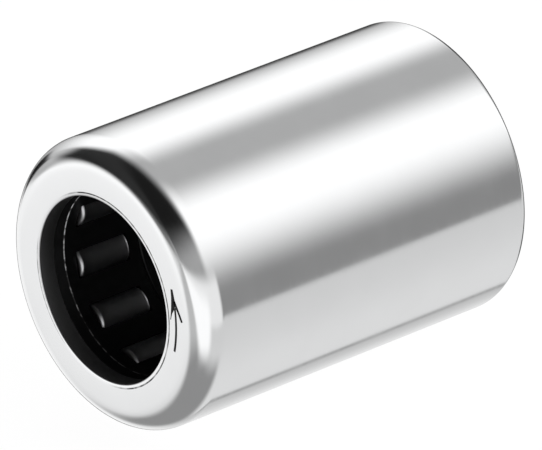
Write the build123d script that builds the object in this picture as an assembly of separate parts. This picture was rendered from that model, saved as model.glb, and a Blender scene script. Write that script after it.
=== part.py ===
from build123d import *

import os
from math import cos, degrees, radians, sin

# One-way needle roller clutch with a needle roller bearing at each end, all in one drawn steel cup.
# The axis runs along +Y and the origin is on the axis, halfway along the cup. The front face, with its
# wide rounded corner, looks along -Y. The rear of the cup is closed by a thinner lip, rolled in over the
# finished insides. From front to rear lie a needle cage with its needles, the clutch cage with its
# rollers and leaf springs, and a second needle cage with its needles.
# Each clutch roller stands under a flat ramp in the cup's wall. Seen from the front, the ramp comes
# nearer to the axis clockwise, so a cup that turns anticlockwise on a shaft wedges its rollers and
# drives the shaft, and a cup that turns the other way runs free.
# Lengths are in millimetres and angles in degrees. A clock angle is counted clockwise from the top, as
# seen from the front, and a depth is counted from the front face.

# Envelope: shaft, rollers and wall together make an outside diameter of 15.875
shaft_diameter = 9.525
width = 22.225

# Rollers
roller_diameter = 1.984
needle_length = 3.30
needle_count = 11
clutch_roller_count = 8

# Cup
wall = 1.1505
front_flange = 1.00
rear_lip = 0.75
front_corner_radius = 1.50
rear_corner_radius = 0.40
inside_corner = 0.30
bore_edge_chamfer = 0.12

# Cages
needle_outer_ring = 1.37
needle_inner_ring = 0.75
clutch_end_ring = 1.36
lead_in_depth = 0.64
lead_in_rise = 0.20
cage_corner = 0.36

# Ramps, the rollers' travel and the keys that stop the clutch cage from turning
wedge_angle = 7.0
release_angle = 4.0
ramp_depth = 0.24
ramp_run = 24.0
key_width = 0.45

# Leaf springs
spring_thickness = 0.10
spring_height = 0.95
spring_room = 0.80
spring_floor = 0.20

# Clearances
shaft_play = 0.0125
front_bore_clearance = 0.3175
rear_bore_clearance = 0.4375
cage_bore_clearance = 0.3375
race_play = 0.028
pocket_play = 0.04
end_play = 0.06
cage_play = 0.10
seat_gap = 0.04
ring_gap = 0.05
spring_play = 0.03

# Clock angle of the first roller of each row
front_needle_start = 26.6
clutch_roller_start = 18.0
rear_needle_start = 10.2

# Radii that follow
roller_radius = roller_diameter / 2
shaft_radius = shaft_diameter / 2
pitch_radius = shaft_radius + shaft_play + roller_radius
race_radius = pitch_radius + roller_radius + race_play
deep_radius = race_radius + ramp_depth
outside_radius = race_radius + wall
front_bore_radius = shaft_radius + front_bore_clearance
rear_bore_radius = shaft_radius + rear_bore_clearance
cage_bore_radius = shaft_radius + cage_bore_clearance
needle_cage_radius = race_radius - cage_play
clutch_cage_radius = race_radius - seat_gap
pocket_radius = roller_radius + pocket_play

# Lengths and depths that follow
needle_window = needle_length + 2 * end_play
needle_cage_width = needle_outer_ring + needle_window + needle_inner_ring
front_cage_start = front_flange + ring_gap
rear_cage_end = width - rear_lip - ring_gap
clutch_cage_start = front_cage_start + needle_cage_width + ring_gap
clutch_cage_end = rear_cage_end - needle_cage_width - ring_gap
clutch_cage_width = clutch_cage_end - clutch_cage_start
clutch_window = clutch_cage_width - 2 * clutch_end_ring
clutch_roller_length = clutch_window - 2 * end_play

# Distances along a clutch pocket, from its roller's centre
release_travel = 2 * pitch_radius * sin(radians(release_angle / 2))
spring_seat = release_travel + roller_radius + spring_play + spring_room

# Longer than anything that is cut
beyond = 2 * outside_radius


def turned_by(angle, depth):
    """Turns a thing clockwise about the axis and carries it to a depth."""
    return Pos(0, 0, depth) * Rot(0, 0, angle)


def at_clock(angle, depth, radius):
    """A place at a clock angle, whose Y points away from the axis and whose X points anticlockwise."""
    return turned_by(angle - 180, depth) * Pos(0, radius, 0)


def clock_angles(start, count):
    """Clock angles spread evenly round the axis."""
    return [start + 360 / count * k for k in range(count)]


def ring_of(outline):
    """Turns an outline of (radius, depth) about the axis."""
    outline_plane = Plane(origin=(0, 0, 0), x_dir=(1, 0, 0), z_dir=(0, -1, 0))
    return revolve(outline_plane * make_face(outline), Axis.Z, 360)


def cup_shell():
    """The drawn shell: wide corner and flat flange in front, plain race inside, rolled lip behind."""
    outside = FilletPolyline(
        (front_bore_radius, 0),
        (outside_radius, 0),
        (outside_radius, width),
        (rear_bore_radius, width),
        radius=[front_corner_radius, rear_corner_radius],
    )
    inside = Polyline(
        (rear_bore_radius, width),
        (rear_bore_radius, width - rear_lip),
        (race_radius - inside_corner, width - rear_lip),
        (race_radius, width - rear_lip - inside_corner),
        (race_radius, front_flange + inside_corner),
        (race_radius - inside_corner, front_flange),
        (front_bore_radius, front_flange),
        (front_bore_radius, 0),
    )
    shell = ring_of([*outside.edges(), *inside.edges()])
    circles = shell.edges().filter_by(GeomType.CIRCLE).group_by(Axis.Z)
    bore_edges = [circles[end].sort_by(SortBy.RADIUS)[0] for end in (0, -1)]
    return chamfer(bore_edges, bore_edge_chamfer)


def ramp_section():
    """One ramp recess in cross-section, about its roller's centre: a flat ramp, then one even depth."""
    ramp_height = roller_radius + race_play
    under_ramp = Pos(0, ramp_height) * Rectangle(4 * beyond, 4 * beyond, align=(Align.CENTER, Align.MAX))
    axis_point = (0, -pitch_radius)
    shallow_side = (-beyond * sin(radians(wedge_angle)), beyond * cos(radians(wedge_angle)) - pitch_radius)
    deep_side = (beyond * sin(radians(ramp_run)), beyond * cos(radians(ramp_run)) - pitch_radius)
    sector = make_face(Polyline(axis_point, shallow_side, deep_side, close=True))
    deep_circle = Pos(*axis_point) * Circle(deep_radius)
    return Rot(0, 0, wedge_angle) * under_ramp & sector & deep_circle


def drawn_cup():
    """The shell with a ramp recess over each clutch roller."""
    recess = extrude(ramp_section(), clutch_cage_width)
    cup = cup_shell()
    for angle in clock_angles(clutch_roller_start, clutch_roller_count):
        cup -= at_clock(angle, clutch_cage_start, pitch_radius) * recess
    return cup


def needle_pocket():
    """The hollow of one needle: round below, where lips hold the needle, and straight above."""
    way_in = Rectangle(2 * pocket_radius, beyond, align=(Align.CENTER, Align.MIN))
    return extrude(Circle(pocket_radius) + way_in, needle_window)


def needle_cage():
    """A needle cage, outer end first: a wide ring with a lead-in cone, the pockets and a narrow ring."""
    outline = Polyline(
        (cage_bore_radius + lead_in_rise, 0),
        (needle_cage_radius - cage_corner, 0),
        (needle_cage_radius, cage_corner),
        (needle_cage_radius, needle_cage_width),
        (cage_bore_radius, needle_cage_width),
        (cage_bore_radius, lead_in_depth),
        close=True,
    )
    cage = ring_of(outline)
    pocket = needle_pocket()
    for angle in clock_angles(0, needle_count):
        cage -= at_clock(angle, needle_outer_ring, pitch_radius) * pocket
    return cage


def clutch_pocket():
    """The hollow of one clutch roller: its travel, its way in from outside and its spring's room."""
    released = Pos(release_travel, 0)
    travel = Rectangle(release_travel, 2 * pocket_radius, align=(Align.MIN, Align.CENTER))
    track = Circle(pocket_radius) + travel + released * Circle(pocket_radius)
    way_in_width = release_travel + 2 * pocket_radius
    way_in = Pos(-pocket_radius, 0) * Rectangle(way_in_width, beyond, align=(Align.MIN, Align.MIN))
    floor_height = cage_bore_radius + spring_floor - pitch_radius
    room = Pos(0, floor_height) * Rectangle(spring_seat, beyond, align=(Align.MIN, Align.MIN))
    return extrude(track + way_in + room, clutch_window)


def clutch_key():
    """A rib on a bar of the clutch cage, which stands in the deep end of a ramp recess."""
    rib = Pos(0, pitch_radius) * Rectangle(key_width, beyond, align=(Align.CENTER, Align.MIN))
    return extrude(rib & Circle(deep_radius - seat_gap), clutch_window)


def clutch_cage():
    """The clutch cage, with a pocket for each roller and its spring, and a key behind each pocket."""
    cage = extrude(Circle(clutch_cage_radius) - Circle(cage_bore_radius), clutch_cage_width)
    key = clutch_key()
    key_angle = ramp_run - degrees((key_width / 2 + seat_gap) / race_radius)
    pocket = clutch_pocket()
    for angle in clock_angles(0, clutch_roller_count):
        cage += at_clock(angle - key_angle, clutch_end_ring, 0) * key
    for angle in clock_angles(0, clutch_roller_count):
        cage -= at_clock(angle, clutch_end_ring, pitch_radius) * pocket
    return cage


def leaf_spring():
    """A bowed strip about its roller's centre: its ends lie on the cage's bar, its crown on the roller."""
    half_length = clutch_window / 2 - end_play
    end = spring_seat - spring_play - spring_thickness / 2
    crown = roller_radius + spring_play + spring_thickness / 2
    bow = ThreePointArc((end, -half_length), (crown, 0), (end, half_length))
    low_edge = cage_bore_radius + spring_floor + spring_play - pitch_radius
    strip_plane = Plane(origin=(0, low_edge, 0), x_dir=(1, 0, 0), z_dir=(0, -1, 0))
    return extrude(strip_plane * trace(bow, spring_thickness), -spring_height)


def write_part(name, shape):
    """Stands a shape on the front face, with its depth along +Y, and writes its own file."""
    front_face = Plane(origin=(0, -width / 2, 0), x_dir=(1, 0, 0), z_dir=(0, 1, 0))
    export_step(front_face * shape, f"parts/{name}.step")


os.makedirs("parts", exist_ok=True)

write_part("drawn_cup", drawn_cup())

cage = needle_cage()
write_part("front_needle_cage", turned_by(front_needle_start, front_cage_start) * cage)
write_part("rear_needle_cage", turned_by(rear_needle_start, rear_cage_end) * Rot(0, 180, 0) * cage)
write_part("clutch_cage", turned_by(clutch_roller_start, clutch_cage_start) * clutch_cage())

needle = Cylinder(roller_radius, needle_length)
needle_middle = needle_outer_ring + needle_window / 2
for number, angle in enumerate(clock_angles(front_needle_start, needle_count), 1):
    place = at_clock(angle, front_cage_start + needle_middle, pitch_radius)
    write_part(f"front_needle_{number:02d}", place * needle)
for number, angle in enumerate(clock_angles(rear_needle_start, needle_count), 1):
    place = at_clock(angle, rear_cage_end - needle_middle, pitch_radius)
    write_part(f"rear_needle_{number:02d}", place * needle)

clutch_roller = Cylinder(roller_radius, clutch_roller_length)
spring = leaf_spring()
for number, angle in enumerate(clock_angles(clutch_roller_start, clutch_roller_count), 1):
    place = at_clock(angle, clutch_cage_start + clutch_cage_width / 2, pitch_radius)
    write_part(f"clutch_roller_{number}", place * clutch_roller)
    write_part(f"leaf_spring_{number}", place * spring)
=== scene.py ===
import bmesh
import bpy
import numpy as np
from mathutils import Matrix, Vector


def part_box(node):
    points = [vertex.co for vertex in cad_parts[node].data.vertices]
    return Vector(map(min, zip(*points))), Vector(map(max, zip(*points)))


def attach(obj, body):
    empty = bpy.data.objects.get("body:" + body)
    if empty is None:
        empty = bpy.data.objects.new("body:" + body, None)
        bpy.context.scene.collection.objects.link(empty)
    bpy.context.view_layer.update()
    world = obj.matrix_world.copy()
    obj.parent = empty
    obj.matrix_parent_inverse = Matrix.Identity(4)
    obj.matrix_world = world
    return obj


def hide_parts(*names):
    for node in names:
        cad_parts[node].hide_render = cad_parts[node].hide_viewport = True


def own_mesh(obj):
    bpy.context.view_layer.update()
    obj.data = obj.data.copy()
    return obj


# One-way needle roller clutch on a white ground. Each piece is a surface worked out with numpy.
# Sizes are in millimetres. A clock angle runs clockwise from the top, seen from the marked front face,
# and a depth runs from that face to the rear.

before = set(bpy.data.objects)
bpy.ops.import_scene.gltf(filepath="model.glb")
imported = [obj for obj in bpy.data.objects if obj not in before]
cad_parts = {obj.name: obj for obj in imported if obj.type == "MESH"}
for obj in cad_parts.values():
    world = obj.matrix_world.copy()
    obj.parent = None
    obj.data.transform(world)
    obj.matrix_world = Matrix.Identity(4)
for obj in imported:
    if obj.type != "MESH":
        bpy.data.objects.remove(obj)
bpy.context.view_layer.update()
mm = 0.001

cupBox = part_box("drawn_cup")
halfWidth = cupBox[1].y / mm
width = 2 * halfWidth
outsideRadius = min(-cupBox[0].x, cupBox[1].x, -cupBox[0].z, cupBox[1].z) / mm
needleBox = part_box("front_needle_01")
rollerRadius = (needleBox[1].x - needleBox[0].x) / 2 / mm
pitchRadius = 5.767    # from the axis to the middle of each roller
raceRadius = 6.787
cageBore = 5.10
pocketRadius = rollerRadius + 0.04
weldDistance = 0.0004


def polar(radius, clock, depth):
    # x = radius sin(clock), y = depth less half the width, z = radius cos(clock), all in metres
    radius, clock, depth = np.broadcast_arrays(radius, clock, depth)
    turn = np.radians(clock)
    return np.stack([radius * np.sin(turn), depth - halfWidth, radius * np.cos(turn)], -1) * mm


def gridFaces(rows, columns, closeRows=False, closeColumns=False):
    # Each face joins a grid point with its neighbours in the next row and the next column
    row = np.arange(rows if closeRows else rows - 1)[:, None]
    column = np.arange(columns if closeColumns else columns - 1)[None, :]
    nextRow = (row + 1) % rows
    nextColumn = (column + 1) % columns
    corners = [row * columns + column, row * columns + nextColumn]
    corners += [nextRow * columns + nextColumn, nextRow * columns + column]
    return np.stack([np.broadcast_to(c, (row.size, column.size)) for c in corners], -1).reshape(-1, 4)


def makePiece(name, patches, material, body, sharp=32.0):
    # Welds patches of points, each (grid, closed by rows, closed by columns), into one closed surface
    points, faces, count = [], [], 0
    for grid, closeRows, closeColumns in patches:
        rows, columns = grid.shape[:2]
        points.append(grid.reshape(-1, 3))
        faces.append(gridFaces(rows, columns, closeRows, closeColumns) + count)
        count += rows * columns
    mesh = bpy.data.meshes.new(name)
    mesh.from_pydata(np.concatenate(points).tolist(), [], np.concatenate(faces).tolist())
    work = bmesh.new()
    work.from_mesh(mesh)
    bmesh.ops.remove_doubles(work, verts=work.verts, dist=weldDistance * mm)
    bmesh.ops.dissolve_degenerate(work, edges=work.edges, dist=weldDistance * mm)
    bmesh.ops.recalc_face_normals(work, faces=work.faces)
    work.to_mesh(mesh)
    work.free()
    mesh.shade_smooth()
    mesh.set_sharp_from_angle(angle=np.radians(sharp))
    mesh.materials.append(material)
    piece = bpy.data.objects.new(name, mesh)
    bpy.context.scene.collection.objects.link(piece)
    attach(piece, body)
    return piece


def arcPoints(centre, radius, start, stop, steps):
    # Points (radius, depth) on an arc, at even angles from start to stop
    turn = np.radians(np.linspace(start, stop, steps))
    return [(centre[0] + radius * np.cos(t), centre[1] + radius * np.sin(t)) for t in turn]


# Node helpers
def newMaterial(name):
    material = bpy.data.materials.new(name)
    material.use_nodes = True
    tree = material.node_tree
    return material, tree, tree.nodes["Principled BSDF"]


def addNode(tree, kind, **settings):
    node = tree.nodes.new(kind)
    for key, value in settings.items():
        setattr(node, key, value)
    return node


def plug(tree, socket, value):
    if isinstance(value, bpy.types.NodeSocket):
        tree.links.new(value, socket)
    else:
        socket.default_value = value


def calc(tree, operation, *values):
    node = addNode(tree, "ShaderNodeMath", operation=operation)
    for socket, value in zip(node.inputs, values):
        plug(tree, socket, value)
    return node.outputs[0]


def ease(tree, value, start, stop, low=0.0, high=1.0):
    # Goes smoothly from low at start to high at stop
    node = addNode(tree, "ShaderNodeMapRange", interpolation_type="SMOOTHSTEP")
    for socket, number in zip(node.inputs, (value, start, stop, low, high)):
        plug(tree, socket, number)
    return node.outputs[0]


def noise(tree, stretch, detail=4.0, roughness=0.55):
    # Noise on Object coordinates, stretched by its own scale along each axis
    coordinates = addNode(tree, "ShaderNodeTexCoord")
    mapping = addNode(tree, "ShaderNodeMapping")
    mapping.inputs["Scale"].default_value = stretch
    tree.links.new(coordinates.outputs["Object"], mapping.inputs["Vector"])
    pattern = addNode(tree, "ShaderNodeTexNoise")
    pattern.inputs["Scale"].default_value = 1.0
    pattern.inputs["Detail"].default_value = detail
    pattern.inputs["Roughness"].default_value = roughness
    tree.links.new(mapping.outputs["Vector"], pattern.inputs["Vector"])
    return pattern.outputs["Fac"]


def mixColour(tree, share, first, second):
    node = addNode(tree, "ShaderNodeMix", data_type="RGBA")
    plug(tree, node.inputs["Factor"], share)
    plug(tree, node.inputs[6], (*first, 1.0))
    plug(tree, node.inputs[7], (*second, 1.0))
    return node.outputs[2]


def bump(tree, shader, height, strength, distance):
    node = addNode(tree, "ShaderNodeBump")
    node.inputs["Strength"].default_value = strength
    node.inputs["Distance"].default_value = distance
    tree.links.new(height, node.inputs["Height"])
    tree.links.new(node.outputs["Normal"], shader.inputs["Normal"])


# Finishes. Colours and roughness run from dark and smooth to light and rough. A pair is the start and the end
# of an ease, in millimetres or as a share, and a triple of large numbers is the scale of a noise per metre
steel = {
    "dark": (0.83, 0.835, 0.84), "light": (0.88, 0.885, 0.89), "smooth": 0.10, "rough": 0.15,
    "lines": (90, 5200, 90), "clouds": (420, 420, 420), "lineHeight": 0.02,
}
rollerSteel = {
    "dark": (0.53, 0.53, 0.54), "light": (0.57, 0.57, 0.58), "smooth": 0.31, "rough": 0.34,
    "lines": (300, 3600, 300), "clouds": (300, 300, 300), "lineHeight": 0.004,
}
springSteel = {
    "dark": (0.42, 0.42, 0.43), "light": (0.52, 0.52, 0.54), "smooth": 0.24, "rough": 0.36,
    "lines": (900, 900, 5200), "clouds": (900, 900, 900), "lineHeight": 0.05,
}
lineStep = 0.01     # height of a full line in the steel
nylon = {
    "dark": (0.003, 0.003, 0.003), "light": (0.006, 0.006, 0.0065), "gloss": 0.22,
    "smooth": 0.34, "rough": 0.46, "spread": (0.35, 0.65),
    "grain": (2600, 2600, 2600), "grainHeight": 0.08, "grainStep": 0.02,
}
paintedEdgeHighlight = {    # "away" is how far from the middle of the cup the painted highlight lies
    "colour": (0.90, 0.90, 0.91), "away": 9.4225, "line": (0.020, 0.045), "radius": (5.14, 5.17),
    "breaks": (2000, 2000, 2000), "share": (0.43, 0.57), "worn": 0.08, "side": (0.70, 0.88), "farShare": 0.22,
}
# Front hole's wall: higher roughness, and a darker colour that is painted shade
holeWallRoughAndShaded = {"radius": (5.083, 5.10), "colour": (0.31, 0.31, 0.315), "rough": 0.42}
lipFace = {"along": (11.07, 11.10), "rough": 0.40}
# Painted shade: a thin broken dark line in the crease round the front hole's edge
paintedCreaseShade = {      # "towards" is the clock angle of the side where the painted shade line is darkest
    "radius": 5.27, "centre": (0.044, 0.008), "line": (0.025, 0.055), "front": (-10.9, -10.8),
    "towards": 68.0, "side": (-0.35, 0.10), "farSide": (-0.94, -0.80), "farShare": 0.55,
    "colour": (0.03, 0.03, 0.03), "breaks": (2400, 2400, 2400), "share": (0.35, 0.60), "least": 0.5,
}
ink = {
    "dark": (0.004, 0.004, 0.004), "light": (0.012, 0.012, 0.012), "rough": 0.55, "gloss": 0.12,
    "grain": (5000, 5000, 5000),
}


def metalFinish(name, finish):
    # Fine lines across one axis, and slow clouds in colour and gloss
    material, tree, shader = newMaterial(name)
    grind = noise(tree, finish["lines"], 3.0, 0.6)
    cloud = noise(tree, finish["clouds"])
    shader.inputs["Metallic"].default_value = 1.0
    tree.links.new(mixColour(tree, cloud, finish["dark"], finish["light"]), shader.inputs["Base Color"])
    both = calc(tree, "ADD", calc(tree, "MULTIPLY", grind, 0.5), calc(tree, "MULTIPLY", cloud, 0.5))
    gloss = ease(tree, both, 0.3, 0.7, finish["smooth"], finish["rough"])
    tree.links.new(gloss, shader.inputs["Roughness"])
    bump(tree, shader, grind, finish["lineHeight"], lineStep * mm)
    return material


def objectPlace(tree):
    # Object coordinates in millimetres: x, y, z and the radius, the root of x squared and z squared
    split = addNode(tree, "ShaderNodeSeparateXYZ")
    tree.links.new(addNode(tree, "ShaderNodeTexCoord").outputs["Object"], split.inputs[0])
    x, y, z = [calc(tree, "MULTIPLY", socket, 1000.0) for socket in split.outputs]
    squares = calc(tree, "MULTIPLY_ADD", x, x, calc(tree, "MULTIPLY", z, z))
    return x, y, z, calc(tree, "SQRT", squares)


def overlay(tree, shader, name, share, target):
    # Blends what a socket has now with a target: now + share * (target - now)
    socket = shader.inputs[name]
    now = socket.links[0].from_socket
    if isinstance(target, tuple):
        node = addNode(tree, "ShaderNodeMix", data_type="RGBA")
        plug(tree, node.inputs["Factor"], share)
        tree.links.new(now, node.inputs[6])
        plug(tree, node.inputs[7], (*target, 1.0))
        tree.links.new(node.outputs[2], socket)
    else:
        change = calc(tree, "SUBTRACT", target, now)
        tree.links.new(calc(tree, "MULTIPLY_ADD", change, share, now), socket)


def cupSteelWithPaintedShade():
    # Bright steel, duller on the rear face and in the front hole, whose wall also gets a darker colour that is
    # painted shade, and whose edge gets a broken line of painted shade, darkest on one side: share =
    # near(distance from the line's circle) * on the front * side * breaks
    material = metalFinish("brightSteel", steel)
    tree = material.node_tree
    shader = tree.nodes["Principled BSDF"]
    x, y, z, radius = objectPlace(tree)
    # Painted shade: the hole's wall is blended to a darker colour, and its roughness rises
    wall = ease(tree, radius, *holeWallRoughAndShaded["radius"], 1.0, 0.0)
    overlay(tree, shader, "Base Color", wall, holeWallRoughAndShaded["colour"])
    overlay(tree, shader, "Roughness", wall, holeWallRoughAndShaded["rough"])
    overlay(tree, shader, "Roughness", ease(tree, y, *lipFace["along"]), lipFace["rough"])
    # Painted shade: a broken dark line round the hole's edge, darkest towards one side
    alongX, alongZ = [calc(tree, "SUBTRACT", value, shift) for value, shift in zip((x, z), paintedCreaseShade["centre"])]
    squares = calc(tree, "MULTIPLY_ADD", alongX, alongX, calc(tree, "MULTIPLY", alongZ, alongZ))
    away = calc(tree, "ABSOLUTE", calc(tree, "SUBTRACT", calc(tree, "SQRT", squares), paintedCreaseShade["radius"]))
    towards = np.radians(paintedCreaseShade["towards"])
    alongCosine = calc(tree, "MULTIPLY", z, float(np.cos(towards)))
    across = calc(tree, "MULTIPLY_ADD", x, float(np.sin(towards)), alongCosine)
    across = calc(tree, "DIVIDE", across, radius)
    farSide = ease(tree, across, *paintedCreaseShade["farSide"], paintedCreaseShade["farShare"], 0.0)
    side = calc(tree, "ADD", ease(tree, across, *paintedCreaseShade["side"]), farSide)
    onFront = ease(tree, y, *paintedCreaseShade["front"], 1.0, 0.0)
    share = calc(tree, "MULTIPLY", ease(tree, away, *paintedCreaseShade["line"], 1.0, 0.0), onFront)
    breaks = ease(tree, noise(tree, paintedCreaseShade["breaks"]), *paintedCreaseShade["share"], paintedCreaseShade["least"], 1.0)
    share = calc(tree, "MULTIPLY", share, calc(tree, "MULTIPLY", side, breaks))
    overlay(tree, shader, "Base Color", share, paintedCreaseShade["colour"])
    return material


def nylonWithPaintedHighlight():
    # Black moulded nylon with the fine grain of its glass filling, with a painted highlight along the
    # lead-in's inner
    # edge, brighter on one side: share = near(distance from the edge's plane) * near the bore * breaks * side
    material, tree, shader = newMaterial("blackNylon")
    grain = noise(tree, nylon["grain"], 5.0, 0.6)
    tree.links.new(mixColour(tree, grain, nylon["dark"], nylon["light"]), shader.inputs["Base Color"])
    gloss = ease(tree, grain, *nylon["spread"], nylon["smooth"], nylon["rough"])
    tree.links.new(gloss, shader.inputs["Roughness"])
    bump(tree, shader, grain, nylon["grainHeight"], nylon["grainStep"] * mm)
    shader.inputs["Specular IOR Level"].default_value = nylon["gloss"]
    x, y, z, radius = objectPlace(tree)
    # Painted highlight: a broken bright line along the lead-in's inner edge, brighter on one side
    away = calc(tree, "ABSOLUTE", calc(tree, "SUBTRACT", calc(tree, "ABSOLUTE", y), paintedEdgeHighlight["away"]))
    atBore = ease(tree, radius, *paintedEdgeHighlight["radius"], 1.0, 0.0)
    share = calc(tree, "MULTIPLY", ease(tree, away, *paintedEdgeHighlight["line"], 1.0, 0.0), atBore)
    breaks = ease(tree, noise(tree, paintedEdgeHighlight["breaks"]), *paintedEdgeHighlight["share"], paintedEdgeHighlight["worn"], 1.0)
    share = calc(tree, "MULTIPLY", share, breaks)
    across = calc(tree, "DIVIDE", x, calc(tree, "MULTIPLY", radius, -1.0))
    share = calc(tree, "MULTIPLY", share, ease(tree, across, *paintedEdgeHighlight["side"], paintedEdgeHighlight["farShare"], 1.0))
    overlay(tree, shader, "Base Color", share, paintedEdgeHighlight["colour"])
    return material


def inkFinish():
    # Dull black of a mark burnt into steel
    material, tree, shader = newMaterial("burntMark")
    grain = noise(tree, ink["grain"])
    tree.links.new(mixColour(tree, grain, ink["dark"], ink["light"]), shader.inputs["Base Color"])
    shader.inputs["Roughness"].default_value = ink["rough"]
    shader.inputs["Specular IOR Level"].default_value = ink["gloss"]
    return material


cupMetal = cupSteelWithPaintedShade()
rollerMetal = metalFinish("lappedSteel", rollerSteel)
springMetal = metalFinish("rolledStrip", springSteel)
blackNylon = nylonWithPaintedHighlight()
burntMark = inkFinish()
print("finishes made")


# Drawn cup
cup = {
    "frontBore": 5.08, "rearBore": 5.20, "boreChamfer": 0.12,
    "frontCorner": 1.50, "rearCorner": 0.40, "insideCorner": 0.30,
    "frontFlange": 1.00, "rearLip": 0.75,
    "rampStart": 6.64, "rampEnd": 15.835, "deepRadius": 7.027, "rampHeight": rollerRadius + 0.028,
    "wedge": 7.0, "rampRun": 24.0, "firstRamp": 18.0, "ramps": 8,
    "columns": 288, "cornerSteps": 17, "faceSunk": 0.004, "faceDome": 0.03, "faceSteps": 9,
    "edgeRadius": 5.32, "edgeDepth": 0.055, "edgeSteps": 13,
    "shoulder": 0.03, "stepHalf": 0.01,    # rows beside the round corners, and half a ramp step's angle
}


def rampRadius(clock):
    # A flat ramp crosses the ray at angle t from its roller where radius = height / cos(t + wedge),
    # never nearer than the race, never deeper than the recess
    spread = 360 / cup["ramps"]
    t = (cup["firstRamp"] - clock + cup["wedge"]) % spread - cup["wedge"]
    height = cup["rampHeight"] + pitchRadius * np.cos(np.radians(cup["wedge"]))
    flat = height / np.cos(np.radians(t + cup["wedge"]))
    return np.where(t < cup["rampRun"], np.clip(flat, raceRadius, cup["deepRadius"]), raceRadius)


def frontFace(centre):
    # The face is domed: depth = sunk + dome * share squared across it, and runs tangent into the corner
    start, corner = cup["edgeRadius"], cup["frontCorner"]
    slope = np.degrees(2 * cup["faceDome"] / (centre[0] - start))
    reach = centre[0] + corner * np.sin(np.radians(slope))
    share = np.linspace(0, 1, cup["faceSteps"])
    face = [(start + (reach - start) * s, cup["faceSunk"] + cup["faceDome"] * s * s) for s in share]
    shift = face[-1][1] - corner * (1 - np.cos(np.radians(slope)))
    bend = arcPoints((centre[0], centre[1] + shift), corner, slope - 90, 0, cup["cornerSteps"])
    return face[:-1] + bend


def holeEdge():
    # A quarter ellipse from the hole's wall to the face:
    # radius = bore + across * (1 - sin t), depth = sunk + down * (1 - cos t)
    turn = np.radians(np.linspace(90, 0, cup["edgeSteps"]))[:-1]
    bore, sunk = cup["frontBore"], cup["faceSunk"]
    across, down = cup["edgeRadius"] - bore, cup["edgeDepth"]
    return [(bore + across * (1 - np.sin(t)), sunk + down * (1 - np.cos(t))) for t in turn]


def makeCup():
    # A profile (radius, depth) carried round the axis. Between its two ramp depths the race follows
    # rampRadius, and a narrow row beside each round corner keeps the flats flat
    front, rear, chamfer = cup["frontCorner"], cup["rearCorner"], cup["boreChamfer"]
    frontCentre = (outsideRadius - front, front)
    rearCentre = (outsideRadius - rear, width - rear)
    shoulder = cup["shoulder"]
    outside = frontFace(frontCentre)
    outside += [(outsideRadius, outside[-1][1] + shoulder), (outsideRadius, width - rear - shoulder)]
    outside += arcPoints(rearCentre, rear, 0, 90, cup["cornerSteps"])
    outside += [(rearCentre[0] - shoulder, width), (cup["rearBore"] + chamfer + shoulder, width)]
    outside += [(cup["rearBore"] + chamfer, width), (cup["rearBore"], width - chamfer)]
    lipDepth, flangeDepth, inner = width - cup["rearLip"], cup["frontFlange"], raceRadius - cup["insideCorner"]
    inside = [(cup["rearBore"], lipDepth), (inner, lipDepth), (raceRadius, lipDepth - cup["insideCorner"])]
    ramps = [(raceRadius, cup["rampEnd"]), (None, cup["rampEnd"])]
    ramps += [(None, cup["rampStart"]), (raceRadius, cup["rampStart"])]
    flange = [(raceRadius, flangeDepth + cup["insideCorner"]), (inner, flangeDepth)]
    flange += [(cup["frontBore"], flangeDepth)] + holeEdge()
    profile = outside + inside + ramps + flange
    steps = cup["firstRamp"] - cup["rampRun"] + 360 / cup["ramps"] * np.arange(cup["ramps"])
    even = np.linspace(0, 360, cup["columns"], endpoint=False)
    stepHalf = cup["stepHalf"]
    clock = np.unique(np.concatenate([even, steps % 360 - stepHalf, steps % 360 + stepHalf]) % 360)
    race = rampRadius(clock)
    rows = [polar(race if radius is None else radius, clock, depth) for radius, depth in profile]
    piece = makePiece("cupShell", [(np.stack(rows), True, True)], cupMetal, "cup")
    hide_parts("drawn_cup")


makeCup()
print("cup made")


# Rollers
roller = {"endCorner": 0.20, "endDome": 0.02, "columns": 56, "domeSteps": 5, "cornerSteps": 8}


def makeRoller(node):
    # A profile of a domed end, a round corner and a straight side, carried round the roller's own axis
    low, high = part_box(node)
    middle = (low + high) / 2
    half = (high.y - low.y) / 2 / mm
    corner, dome = roller["endCorner"], roller["endDome"]
    flat = rollerRadius - corner
    centre = (flat, half - dome - corner)
    reach = np.linspace(0, 1, roller["domeSteps"] + 1)[:-1]
    end = [(flat * s, half - dome * s * s) for s in reach]
    end += arcPoints(centre, corner, 90, 0, roller["cornerSteps"])
    side = [(rollerRadius, half * s) for s in (0.6, 0.0)]
    near = end + side
    profile = np.array(near + [(radius, -along) for radius, along in near[-2::-1]])
    turn = np.linspace(0, 2 * np.pi, roller["columns"], endpoint=False)
    radius, along = profile[:, :1], profile[:, 1:]
    grid = np.stack([radius * np.sin(turn), along + 0 * turn, radius * np.cos(turn)], -1) * mm
    grid = grid + np.array(middle)
    name = "".join(word.capitalize() if i else word for i, word in enumerate(node.split("_")))
    piece = makePiece(name, [(grid, False, True)], rollerMetal, node)
    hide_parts(node)


for node in sorted(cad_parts):
    if "_needle_" in node and "cage" not in node or node.startswith("clutch_roller"):
        makeRoller(node)
print("rollers made")


# Cages
needleCage = {
    "outerRadius": 6.687, "count": 11, "ring": 1.37, "window": 3.42, "width": 5.54,
    "leadIn": 0.64, "leadRise": 0.20, "leadRound": 0.12, "corner": 0.36, "edge": 0.05,
}
clutchCage = {
    "outerRadius": 6.747, "count": 8, "ring": 1.36, "window": 6.475, "width": 9.195,
    "travel": 0.4025, "springSeat": 2.2245, "springFloor": 5.30,
    "keyAngle": 21.76, "keyWidth": 0.45, "keyRadius": 6.987, "edge": 0.06,
}
cageGrid = {"pocket": 8, "bar": 10}


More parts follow.
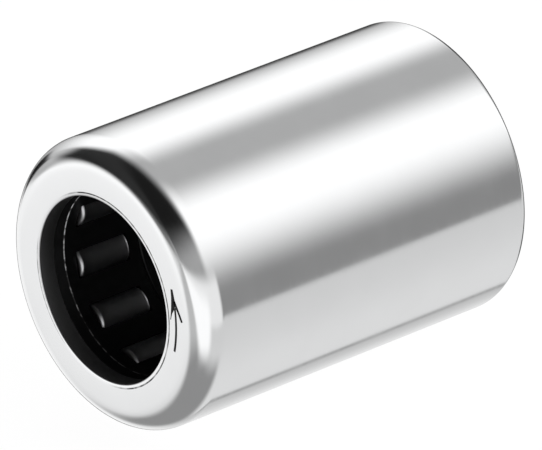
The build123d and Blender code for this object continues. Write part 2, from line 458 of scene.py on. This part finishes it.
def roundSide(radius, centre, lean):
    # Law of cosines: where a circle round the axis meets the pocket's circle, whose centre lies this far out
    cosine = (radius**2 + centre**2 - pocketRadius**2) / (2 * radius * centre)
    return lean + np.degrees(np.arccos(np.clip(cosine, -1, 1)))


def straightSide(radius, away):
    # Where a circle round the axis meets a plane at this distance from the pocket's middle
    return np.degrees(np.arcsin(away / radius))


def needleSides():
    # Radii from the bore outwards, and the pocket's half angle at each: round lips below, straight above
    turning = np.hypot(pitchRadius, pocketRadius)
    radii = np.concatenate([np.linspace(cageBore, turning, 9), [needleCage["outerRadius"]]])
    half = np.where(radii < turning, roundSide(radii, pitchRadius, 0), straightSide(radii, pocketRadius))
    return radii, -half, half


def clutchSides():
    # The same with room for travel and for the spring on the anticlockwise side
    travel, seat, floor = clutchCage["travel"], clutchCage["springSeat"], clutchCage["springFloor"]
    turning = np.hypot(pitchRadius, pocketRadius)
    centre, lean = np.hypot(pitchRadius, travel), np.degrees(np.arctan2(travel, pitchRadius))
    reach = travel + np.sqrt(pocketRadius**2 - (pitchRadius - floor) ** 2)
    floorStart, floorEnd = np.hypot(floor, reach), np.hypot(floor, seat)
    outwards = [floorEnd, turning, clutchCage["outerRadius"]]
    radii = np.sort(np.concatenate([np.linspace(cageBore, floorStart, 7), outwards]))
    near = np.where(radii < turning, roundSide(radii, pitchRadius, 0), straightSide(radii, pocketRadius))
    onFloor = np.degrees(np.arccos(np.clip(floor / radii, -1, 1)))
    far = np.where(radii < floorEnd - 1e-9, onFloor, straightSide(radii, seat))
    far = np.where(radii < floorStart + 1e-9, roundSide(radii, centre, lean), far)
    return radii, -near, far


def cageColumns(low, high, spread, key=None):
    # Angles of the columns at one radius: across a pocket, then along its bar, with two at each key edge
    across = np.linspace(low, high, cageGrid["pocket"] + 1)
    bar = np.linspace(high, low + spread, cageGrid["bar"] + 1)[1:-1]
    if key is not None:
        nearest = np.argsort(np.abs(bar - key.mean()))[:4]
        bar[np.sort(nearest)] = np.repeat(key, 2)
    return np.concatenate([across, bar])


def makeCage(name, node, body, cage, sides, firstClock, start, direction, profiles):
    # All patches share one set of columns. Anticlockwise angles count from each pocket's middle
    radii, low, high = sides
    spread = 360 / cage["count"]
    pockets = spread * np.arange(cage["count"])
    key = None
    if "keyAngle" in cage:
        halfKey = np.degrees(cage["keyWidth"] / 2 / cage["outerRadius"])
        key = np.array([cage["keyAngle"] - halfKey, cage["keyAngle"] + halfKey])
    inner = (cageColumns(low[0], high[0], spread) + pockets[:, None]).ravel()
    outer = (cageColumns(low[-1], high[-1], spread, key) + pockets[:, None]).ravel()
    bore, rim = radii[0], radii[-1]
    windowStart, windowEnd = cage["ring"], cage["ring"] + cage["window"]

    def onCage(radius, angle, depth):
        return polar(radius, firstClock - angle, start + direction * depth)

    def ringRow(radius, depth):
        share = np.clip((radius - bore) / (rim - bore), 0, 1)
        return onCage(radius, inner + (outer - inner) * share, depth)

    nearEnd, farEnd = profiles
    patches = [(np.stack([ringRow(*point) for point in end]), False, True) for end in (nearEnd, farEnd)]
    perPocket = cageGrid["pocket"] + cageGrid["bar"]
    ends = np.array([windowStart, windowEnd])
    barColumns = np.arange(cageGrid["pocket"], perPocket + 1)
    top = np.full(perPocket, rim)
    if key is not None:
        angles = cageColumns(low[-1], high[-1], spread, key)
        edges = [np.flatnonzero(np.isclose(angles, k)) for k in key]
        top[edges[0][1]:edges[1][0] + 1] = cage["keyRadius"]
    across = np.linspace(0, 1, cageGrid["pocket"] + 1)
    for pocket, turn in enumerate(pockets):
        wall = low[:, None] + (high - low)[:, None] * across
        for depth in ends:
            patches.append((onCage(radii[:, None], wall + turn, depth), False, False))
        for side in (low, high):
            patches.append((onCage(radii[:, None], side[:, None] + turn, ends[None, :]), False, False))
        columns = (barColumns + pocket * perPocket) % inner.size
        innerAngles, outerAngles = inner[columns], outer[columns]
        patches.append((onCage(bore, innerAngles[None, :], ends[:, None]), False, False))
        lid = top[barColumns % perPocket]
        rows = [(rim, windowStart), (lid, windowStart), (lid, windowEnd), (rim, windowEnd)]
        patches.append((np.stack([onCage(r, outerAngles, d) for r, d in rows]), False, False))
    piece = makePiece(name, patches, blackNylon, body)
    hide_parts(node)


def needleEnds():
    # Profiles of the outer ring, with lead-in and chamfer, and of the inner ring, from bore to rim and back
    cage = needleCage
    rim, corner, leadIn, rise = cage["outerRadius"], cage["corner"], cage["leadIn"], cage["leadRise"]
    slope = np.degrees(np.arctan2(rise, leadIn))
    bend = cage["leadRound"] / np.tan(np.radians(90 - slope / 2))
    centre = (cageBore + cage["leadRound"], leadIn + bend)
    lead = arcPoints(centre, cage["leadRound"], 180, 180 + slope, 5)
    edge = cage["edge"]
    near = [(cageBore, cage["ring"])] + lead
    near += [(cageBore + rise - edge * rise / leadIn, edge), (cageBore + rise + edge, 0)]
    near += [(rim - corner, 0), (rim, corner), (rim, cage["ring"])]
    far = [(rim, cage["ring"] + cage["window"]), (rim, cage["width"] - edge), (rim - edge, cage["width"])]
    far += [(cageBore + edge, cage["width"]), (cageBore, cage["width"] - edge)]
    far += [(cageBore, cage["ring"] + cage["window"])]
    return near, far


def clutchEnds():
    cage = clutchCage
    rim, edge = cage["outerRadius"], cage["edge"]
    near = [(cageBore, cage["ring"]), (cageBore, edge), (cageBore + edge, 0)]
    near += [(rim - edge, 0), (rim, edge), (rim, cage["ring"])]
    far = [(radius, cage["width"] - depth) for radius, depth in near[::-1]]
    return near, far


frontNeedles, rearNeedles, clutchRow = 26.6, 10.2, 18.0   # clock angle of each row's first roller
frontCageStart, rearCageEnd, clutchCageStart = 1.05, 21.425, 6.64
makeCage("frontNeedleCage", "front_needle_cage", "front_cage", needleCage, needleSides(), frontNeedles,
         frontCageStart, 1, needleEnds())
makeCage("rearNeedleCage", "rear_needle_cage", "rear_cage", needleCage, needleSides(), rearNeedles,
         rearCageEnd, -1, needleEnds())
makeCage("clutchCage", "clutch_cage", "cup", clutchCage, clutchSides(), clutchRow,
         clutchCageStart, 1, clutchEnds())
print("cages made")


# Leaf springs
spring = {
    "halfLength": 3.1775, "end": 2.1445, "crown": 1.072, "thickness": 0.10,
    "low": -0.437, "high": 0.513, "corner": 0.03, "keep": 0.65, "steps": 40, "middle": 11.2375,
    "endThin": 0.4, "endLow": 0.03,    # how the section closes at each end of the strip
}


def makeSpring(number):
    # A round-edged section carried along a bow of radius R, through angle t from its crown:
    # from the roller = crown + R - (R - offset) cos t, along the axis = (R - offset) sin t
    clock = clutchRow + 360 / clutchCage["count"] * (number - 1)
    turn = np.radians(clock)
    out = np.array([np.sin(turn), 0, np.cos(turn)])
    back = np.array([-np.cos(turn), 0, np.sin(turn)])    # anticlockwise, from the roller to the bar
    axial = np.array([0.0, 1.0, 0.0])
    rise = spring["end"] - spring["crown"]
    bowRadius = (spring["halfLength"] ** 2 + rise**2) / (2 * rise)
    bend = np.linspace(-1, 1, spring["steps"]) * np.arcsin(spring["halfLength"] / bowRadius)
    halfThick, corner = spring["thickness"] / 2, spring["corner"]
    flank, top, foot = halfThick - corner, spring["high"] - corner, spring["low"] + corner
    corners = [(flank, top, 0), (-flank, top, 90), (-flank, foot, 180), (flank, foot, 270)]
    section = np.array([p for a, b, s in corners for p in arcPoints((a, b), corner, s, s + 90, 4)])
    centreLine = spring["crown"] + bowRadius

    def rowAt(angle, loop):
        distance = centreLine - (bowRadius - loop[:, :1]) * np.cos(angle)
        along = (bowRadius - loop[:, :1]) * np.sin(angle)
        return distance * back + along * axial + (pitchRadius + loop[:, 1:]) * out

    shrunk = section * [spring["endThin"], 1.0]
    shrunk[:, 1] = np.clip(shrunk[:, 1], spring["low"] + spring["endLow"], spring["high"] - spring["endLow"])
    flat = np.stack([0 * section[:, 0], shrunk[:, 1]], -1)
    loops = [(bend[0], flat), (bend[0], shrunk)] + [(b, section) for b in bend]
    loops += [(bend[-1], shrunk), (bend[-1], flat)]
    grid = np.stack([rowAt(b, loop) for b, loop in loops])
    grid = (grid + (spring["middle"] - halfWidth) * axial) * mm
    piece = makePiece(f"leafSpring{number}", [(grid, False, True)], springMetal, "cup")
    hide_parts(f"leaf_spring_{number}")
    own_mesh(piece)


for number in range(1, clutchCage["count"] + 1):
    makeSpring(number)
print("springs made")


# Arrow on the flange
arrow = {    # points of each stroke: radius, clock angle and breadth
    "shaft": [(5.856, 102.6, 0.135), (5.85, 95.0, 0.135), (5.855, 87.0, 0.13), (5.88, 78.0, 0.12)],
    "head": [(5.915, 68.2, 0.14), (5.86, 72.0, 0.21), (5.815, 75.5, 0.31), (5.73, 78.0, 0.27),
             (5.66, 79.3, 0.20), (5.575, 81.0, 0.11), (5.51, 83.0, 0.07), (5.445, 85.3, 0.04)],
    "barb": [(5.90, 74.5, 0.16), (6.00, 77.5, 0.15), (6.115, 80.0, 0.12), (6.20, 82.0, 0.11),
             (6.315, 84.6, 0.09)],
    "top": 0.001, "sunk": 0.05, "steps": 24,
}


def markStrip(points):
    # A flat bar whose edges are line + and - across * breadth / 2, with its top just proud of the sunk face
    radius, clock, breadth = np.array(points).T
    along = np.linspace(0, len(points) - 1, arrow["steps"])
    number = np.arange(len(points))
    radius, clock, breadth = [np.interp(along, number, row) for row in (radius, clock, breadth)]
    turn = np.radians(clock)
    line = np.stack([radius * np.sin(turn), radius * np.cos(turn)], -1)
    run = np.gradient(line, axis=0)
    run /= np.linalg.norm(run, axis=1)[:, None]
    across = np.stack([-run[:, 1], run[:, 0]], -1) * breadth[:, None] / 2
    left, right = line + across, line - across
    sunk, top = np.full(len(line), arrow["sunk"]), np.full(len(line), arrow["top"])
    loop = [(left, sunk), (left, top), (right, top), (right, sunk)]
    grid = np.stack([np.column_stack([edge[:, 0], depth, edge[:, 1]]) for edge, depth in loop], 1)
    caps = [np.repeat(grid[[end]].mean(1, keepdims=True), 4, 1) for end in (0, -1)]
    return np.concatenate([caps[0], grid, caps[1]])


def makeArrow():
    # Three strips: a shaft along the ring, a head that fills its inner side and a barb on its outer side
    patches = []
    for part in ("shaft", "head", "barb"):
        grid = markStrip(arrow[part])
        grid[..., 1] -= halfWidth
        patches.append((grid * mm, False, True))
    makePiece("driveArrow", patches, burntMark, "cup")


makeArrow()
print("arrow made")


# Floor
floor = {"reach": 4000, "shadow": 0.12, "white": 1.09, "colour": (0.9, 0.9, 0.9), "rough": 0.9}


def makeFloor():
    # White to the camera, with a faint share of real shade under the cup
    mesh = bpy.data.meshes.new("floor")
    reach, level = floor["reach"] * mm, -outsideRadius * mm
    corners = [(-reach, -reach), (reach, -reach), (reach, reach), (-reach, reach)]
    mesh.from_pydata([(x, y, level) for x, y in corners], [], [(0, 1, 2, 3)])
    material, tree, shader = newMaterial("paleFloor")
    shader.inputs["Base Color"].default_value = (*floor["colour"], 1.0)
    shader.inputs["Roughness"].default_value = floor["rough"]
    glow = addNode(tree, "ShaderNodeEmission")
    glow.inputs["Strength"].default_value = floor["white"]
    mix = addNode(tree, "ShaderNodeMixShader")
    mix.inputs[0].default_value = floor["shadow"]
    tree.links.new(glow.outputs[0], mix.inputs[1])
    tree.links.new(shader.outputs[0], mix.inputs[2])
    tree.links.new(mix.outputs[0], tree.nodes["Material Output"].inputs["Surface"])
    mesh.materials.append(material)
    plane = bpy.data.objects.new("floor", mesh)
    bpy.context.scene.collection.objects.link(plane)
    plane.visible_glossy = False     # the cup mirrors the studio's own floor tone


makeFloor()


# Studio: brightness by direction. The clock angle is counted about the cup's axis. "ahead" is the share of
# a direction that points to the front, "behind" the share that points to the rear and "height" the share
# that points up. The tilt runs from straight ahead, 0, over the top, 90, to the rear. A pair is the start
# and the end of an ease, "rise" and "fall" make a window, and "lean" shifts one as another measure grows
studio = {
    "room": 0.46, "roomSide": 0.27, "roomTurns": (46, 92),
    "leftBox": {"rise": (-104, -60), "fall": (-47, -20), "light": 1.20},
    "rightBox": {"rise": (-4, 26), "fall": (42, 90), "light": 1.20},
    "rightFade": (-0.30, 0.10),
    "ground": {"rise": (107, 110), "fall": (252, 256), "near": 0.70, "far": 0.80, "lightens": (110, 165)},
    "farGround": {"rise": (188, 192), "lightens": (190, 226), "near": 0.585, "far": 1.02,
                  "behind": (0.35, 0.55), "rear": 0.84},
    "groundLine": {"behind": (0.35, 0.50), "rise": (186.5, 189.5), "fall": (191.5, 194), "dark": 0.48},
    "frontGround": {"ahead": (-0.42, -0.14), "from": 188, "lean": 0.0095, "height": (-0.62, -0.42),
                    "low": 0.30, "high": 0.56, "rise": (128, 150), "fall": (214, 236)},
    "flag": {"tilt": (-16, 12), "back": (66, 100), "lean": 40.0, "leanFrom": -0.10, "left": (-1.03, -0.90),
             "backLean": 80.0, "backFrom": -0.676, "right": (-0.36, 0.40), "dark": 0.975},
    "frontBox": {"ahead": (0.22, 0.50), "rise": (78, 102), "fall": (140, 164), "height": (-0.76, -0.50),
                 "light": 1.15},
    "sideBox": {"ahead": (-0.53, -0.40), "rise": (68, 82), "fall": (107, 113), "light": 0.92},
    "card": {"towards": (-0.62, -0.66, -0.42), "angle": (14, 30), "height": (-0.80, -0.15),
             "low": 0.72, "high": 1.16},
    "post": {"rise": (-114, -107), "fall": (-97, -91), "from": -98, "lean": 0.010, "front": (0.04, 0.14),
             "back": (-0.30, -0.18), "dark": 0.98},
    "rim": {"angle": (12, 24), "rise": (218, 230), "fall": (310, 330), "ahead": (-0.56, -0.52),
            "above": (234, 240), "dark": 0.95},
    "rear": {"behind": (0.66, 0.80), "rise": (150, 175), "fall": (320, 340), "dark": 0.92},
}


def makeStudio():
    # Each light is blended over the ones before it, level + share * (target - level), and each shade darkens
    # them, level * (1 - share * dark). The camera itself sees plain white
    world = bpy.data.worlds.new("studio")
    bpy.context.scene.world = world
    world.use_nodes = True
    tree = world.node_tree
    direction = addNode(tree, "ShaderNodeTexCoord").outputs["Generated"]
    split = addNode(tree, "ShaderNodeSeparateXYZ")
    tree.links.new(direction, split.inputs[0])
    x, y, z = split.outputs
    clock = calc(tree, "DEGREES", calc(tree, "ARCTAN2", x, z))
    around = calc(tree, "WRAP", clock, 360.0, 0.0)
    ahead = calc(tree, "MULTIPLY", y, -1.0)

    def times(first, second):
        return calc(tree, "MULTIPLY", first, second)

    def window(value, rise, fall):
        return times(ease(tree, value, *rise), ease(tree, value, *fall, 1.0, 0.0))

    def blendTo(level, share, target):
        return calc(tree, "MULTIPLY_ADD", calc(tree, "SUBTRACT", target, level), share, level)

    def shade(level, share, dark):
        return times(level, calc(tree, "SUBTRACT", 1.0, times(share, dark)))

    def angleFrom(towards):
        dot = addNode(tree, "ShaderNodeVectorMath", operation="DOT_PRODUCT")
        tree.links.new(direction, dot.inputs[0])
        dot.inputs[1].default_value = tuple(Vector(towards).normalized())
        return calc(tree, "DEGREES", calc(tree, "ARCCOSINE", dot.outputs["Value"]))

    level = ease(tree, clock, *studio["roomTurns"], studio["room"], studio["roomSide"])
    box = studio["leftBox"]
    level = blendTo(level, window(clock, box["rise"], box["fall"]), box["light"])
    box = studio["rightBox"]
    share = times(window(clock, box["rise"], box["fall"]), ease(tree, y, *studio["rightFade"]))
    level = blendTo(level, share, box["light"])

    ground, far, near = studio["ground"], studio["farGround"], studio["frontGround"]
    tone = ease(tree, around, *ground["lightens"], ground["near"], ground["far"])
    farTone = ease(tree, y, *far["behind"], far["far"], far["rear"])
    farTone = ease(tree, around, *far["lightens"], far["near"], farTone)
    tone = blendTo(tone, ease(tree, around, *far["rise"]), farTone)
    line = studio["groundLine"]
    share = times(window(around, line["rise"], line["fall"]), ease(tree, y, *line["behind"]))
    tone = shade(tone, share, line["dark"])
    lean = times(calc(tree, "MAXIMUM", calc(tree, "SUBTRACT", around, near["from"]), 0.0), near["lean"])
    share = ease(tree, calc(tree, "SUBTRACT", ahead, lean), *near["ahead"])
    share = times(share, window(around, near["rise"], near["fall"]))
    tone = blendTo(tone, share, ease(tree, z, *near["height"], near["low"], near["high"]))
    level = blendTo(level, window(around, ground["rise"], ground["fall"]), tone)

    box = studio["sideBox"]
    share = times(ease(tree, ahead, *box["ahead"]), window(clock, box["rise"], box["fall"]))
    level = blendTo(level, share, box["light"])
    box = studio["frontBox"]
    share = times(ease(tree, ahead, *box["ahead"]), window(clock, box["rise"], box["fall"]))
    level = blendTo(level, times(share, ease(tree, z, *box["height"])), box["light"])
    flag = studio["flag"]
    tilt = calc(tree, "DEGREES", calc(tree, "ARCTAN2", z, ahead))
    lean = times(calc(tree, "MAXIMUM", x, flag["leanFrom"]), flag["lean"])
    pastBack = calc(tree, "MAXIMUM", calc(tree, "SUBTRACT", flag["backFrom"], x), 0.0)
    leantBack = calc(tree, "ADD", tilt, times(pastBack, flag["backLean"]))
    share = times(ease(tree, calc(tree, "SUBTRACT", tilt, lean), *flag["tilt"]),
                  ease(tree, leantBack, *flag["back"], 1.0, 0.0))
    sides = times(ease(tree, x, *flag["left"]),
                  ease(tree, calc(tree, "SUBTRACT", x, z), *flag["right"], 1.0, 0.0))
    level = shade(level, times(share, sides), flag["dark"])
    card = studio["card"]
    light = ease(tree, z, *card["height"], card["low"], card["high"])
    level = blendTo(level, ease(tree, angleFrom(card["towards"]), *card["angle"], 1.0, 0.0), light)

    post = studio["post"]
    lean = times(calc(tree, "SUBTRACT", clock, post["from"]), post["lean"])
    leant = calc(tree, "SUBTRACT", ahead, lean)
    share = times(window(clock, post["rise"], post["fall"]), window(leant, post["back"], post["front"]))
    level = shade(level, share, post["dark"])
    rim = studio["rim"]
    share = times(ease(tree, angleFrom(-backward), *rim["angle"], 1.0, 0.0),
                  window(around, rim["rise"], rim["fall"]))
    notBelow = calc(tree, "MAXIMUM", ease(tree, ahead, *rim["ahead"]), ease(tree, around, *rim["above"]))
    level = shade(level, times(share, notBelow), rim["dark"])
    rear = studio["rear"]
    share = times(ease(tree, y, *rear["behind"]), window(around, rear["rise"], rear["fall"]))
    level = shade(level, share, rear["dark"])

    ray = addNode(tree, "ShaderNodeLightPath")
    level = blendTo(level, ray.outputs["Is Camera Ray"], 1.0)
    background = tree.nodes["Background"]
    background.inputs["Color"].default_value = (1.0, 1.0, 1.0, 1.0)
    tree.links.new(level, background.inputs["Strength"])


# Camera
view = {
    "azimuth": 49.245, "elevation": 26.772, "distance": 537.6, "pixelsPerMm": 19.2723,
    "centre": (266.403, 226.838), "picture": (542, 450), "sensor": 36.0, "clip": (0.01, 100.0),
}
azimuth, elevation = np.radians([view["azimuth"], view["elevation"]])
outwards = np.cos(elevation)
backward = Vector((np.sin(azimuth) * outwards, -np.cos(azimuth) * outwards, np.sin(elevation)))


def makeCamera():
    # The cup's middle falls on the picture's "centre", because the camera stands aside without turning
    right = Vector((np.cos(azimuth), np.sin(azimuth), 0.0))
    up = backward.cross(right)
    aside = (view["picture"][0] / 2 - view["centre"][0]) / view["pixelsPerMm"]
    above = (view["centre"][1] - view["picture"][1] / 2) / view["pixelsPerMm"]
    data = bpy.data.cameras.new("camera")
    data.sensor_width = view["sensor"]
    data.lens = view["pixelsPerMm"] * view["distance"] * data.sensor_width / view["picture"][0]
    data.clip_start, data.clip_end = view["clip"]
    camera = bpy.data.objects.new("camera", data)
    bpy.context.scene.collection.objects.link(camera)
    standing = (right * aside + up * above + backward * view["distance"]) * mm
    camera.matrix_world = Matrix.Translation(standing) @ Matrix((right, up, backward)).transposed().to_4x4()
    bpy.context.scene.camera = camera


makeCamera()
makeStudio()
bpy.context.scene.view_settings.view_transform = "Standard"
print("studio and camera made")
